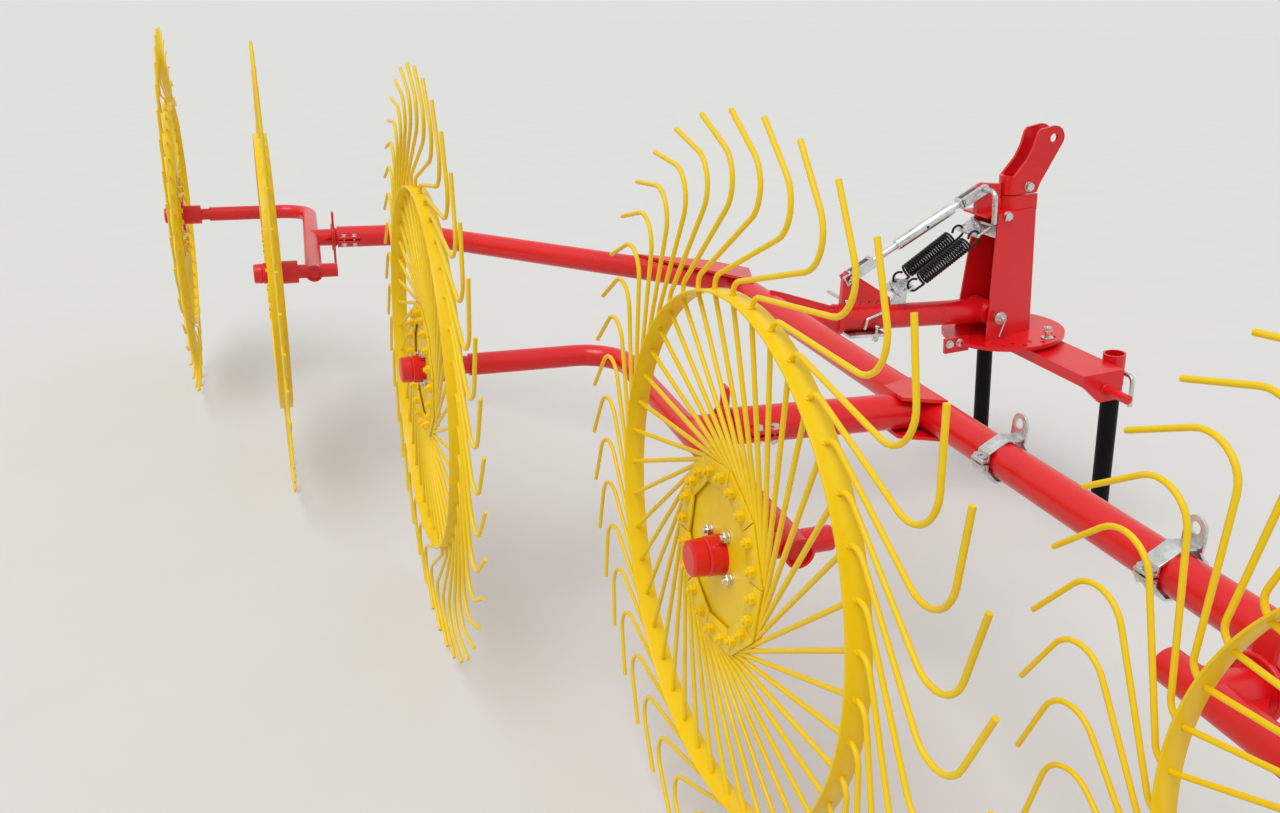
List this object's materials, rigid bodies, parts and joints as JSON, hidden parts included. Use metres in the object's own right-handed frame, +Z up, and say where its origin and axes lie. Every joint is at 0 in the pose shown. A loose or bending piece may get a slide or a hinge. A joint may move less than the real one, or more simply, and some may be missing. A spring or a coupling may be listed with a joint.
{
  "type": "finger-wheel hay tedder",
  "caption": "Tractor-mounted hay tedder with yellow spring-tined raking wheels on rocking cranks along a red tubular beam, carried by a three-point headstock with parking legs.",
  "frame": {"origin": "on the ground, in the middle of the machine's outline seen from above", "axes": "+X along the beam towards the last wheel on the machine's open side, +Y forward to the tractor, +Z up"},
  "size_m": [5.583, 2.9004, 1.3961],
  "materials": {
    "red_paint": "gloss",
    "yellow_paint": "gloss",
    "black_paint": "satin",
    "zinc": "satin"
  },
  "bodies": {
    "headstock": {"crossbar": "red_paint", "mast_foot": "red_paint", "mast": "red_paint", "top_link_bracket": "red_paint", "link_pin_left": "red_paint", "link_pin_right": "red_paint", "leg_socket_left": "red_paint", "leg_socket_right": "red_paint", "leg_pin_left": "zinc", "leg_pin_right": "zinc"},
    "left_leg": {"leg_left": "black_paint"},
    "right_leg": {"leg_right": "black_paint"},
    "swivel_column": {"column": "red_paint", "swivel_disc": "red_paint", "stop_lug": "red_paint", "hinge_pin_left": "zinc", "hinge_pin_right": "zinc", "spring_anchor_upper": "zinc", "upper_pin": "zinc", "spring_left": "black_paint", "spring_right": "black_paint"},
    "boom": {"arm": "red_paint", "arm_hinge_tube": "red_paint", "beam_bracket": "red_paint", "arm_lug": "red_paint", "lower_pin": "zinc", "spring_anchor_lower": "zinc", "beam": "red_paint", "beam_diagonal": "red_paint", "sleeve_middle": "red_paint", "sleeve_near": "red_paint", "gusset_bend": "red_paint", "gussets_middle": "red_paint", "clamp_inner": "zinc", "clamp_outer": "zinc", "crank_near": "red_paint"},
    "turnbuckle_sleeve": {"turnbuckle_body": "zinc"},
    "turnbuckle_screw": {"turnbuckle_rod": "zinc"},
    "far_crank": {"crank_far": "red_paint"},
    "middle_crank": {"crank_middle": "red_paint"},
    "raking_wheel_one": {"wheel_one_tines": "yellow_paint", "wheel_one_plates": "yellow_paint", "wheel_one_hub": "red_paint"},
    "raking_wheel_two": {"wheel_two_tines": "yellow_paint", "wheel_two_plates": "yellow_paint", "wheel_two_hub": "red_paint"},
    "raking_wheel_three": {"wheel_three_tines": "yellow_paint", "wheel_three_plates": "yellow_paint", "wheel_three_hub": "red_paint"},
    "raking_wheel_four": {"wheel_four_tines": "yellow_paint", "wheel_four_plates": "yellow_paint", "wheel_four_hub": "red_paint"},
    "raking_wheel_five": {"wheel_five_tines": "yellow_paint", "wheel_five_plates": "yellow_paint", "wheel_five_hub": "red_paint"}
  },
  "joints": [
    {"name": "left_leg_slide", "type": "slide", "parent": "headstock", "child": "left_leg", "axis": [0, -0.0958, 0.9954], "range_m": [0, 0.3]},
    {"name": "right_leg_slide", "type": "slide", "parent": "headstock", "child": "right_leg", "axis": [0, -0.0958, 0.9954], "range_m": [0, 0.3]},
    {"name": "mast_swivel", "type": "hinge", "parent": "headstock", "child": "swivel_column", "pos_m": [-0.36, 1.19968, 0.60729], "axis": [0, -0.0958, 0.9954], "range_deg": [-20, 20]},
    {"name": "arm_lift", "type": "hinge", "parent": "swivel_column", "child": "boom", "pos_m": [-0.36, 1.122, 0.642], "axis": [-1, 0, 0], "range_deg": [-3, 12], "deforming": ["spring_left", "spring_right"]},
    {"name": "turnbuckle_swing", "type": "hinge", "parent": "swivel_column", "child": "turnbuckle_sleeve", "pos_m": [-0.36, 1.05575, 1.02742], "axis": [-1, 0, 0], "range_deg": [-2.22, 8.89]},
    {"name": "turnbuckle_thread", "type": "slide", "parent": "turnbuckle_sleeve", "child": "turnbuckle_screw", "axis": [0, -0.8563, -0.5165], "range_m": [-0.07776, 0.01944]},
    {"name": "far_crank_rock", "type": "hinge", "parent": "boom", "child": "far_crank", "pos_m": [-1.5705, -0.755, 0.69784], "axis": [0, 1, 0], "range_deg": [-10, 10]},
    {"name": "middle_crank_rock", "type": "hinge", "parent": "boom", "child": "middle_crank", "pos_m": [0.5235, -0.033, 0.69784], "axis": [0, 1, 0], "range_deg": [-10, 10]},
    {"name": "wheel_one_turn", "type": "hinge", "parent": "far_crank", "child": "raking_wheel_one", "pos_m": [-2.094, -1.391, 0.69784], "axis": [0.0471, -0.9989, 0], "continuous": true},
    {"name": "wheel_two_turn", "type": "hinge", "parent": "far_crank", "child": "raking_wheel_two", "pos_m": [-1.047, -1.03, 0.69784], "axis": [0.0471, -0.9989, 0], "continuous": true},
    {"name": "wheel_three_turn", "type": "hinge", "parent": "middle_crank", "child": "raking_wheel_three", "pos_m": [0, -0.669, 0.69784], "axis": [0.0471, -0.9989, 0], "continuous": true},
    {"name": "wheel_four_turn", "type": "hinge", "parent": "middle_crank", "child": "raking_wheel_four", "pos_m": [1.047, -0.308, 0.69784], "axis": [0.0471, -0.9989, 0], "continuous": true},
    {"name": "wheel_five_turn", "type": "hinge", "parent": "boom", "child": "raking_wheel_five", "pos_m": [2.094, 0.053, 0.69784], "axis": [0.0471, -0.9989, 0], "continuous": true}
  ],
  "couplings": [
    {"joint": "turnbuckle_swing", "follows": "arm_lift", "ratio": 0.741},
    {"joint": "turnbuckle_thread", "follows": "arm_lift", "m_per_rad": -0.3713}
  ]
}
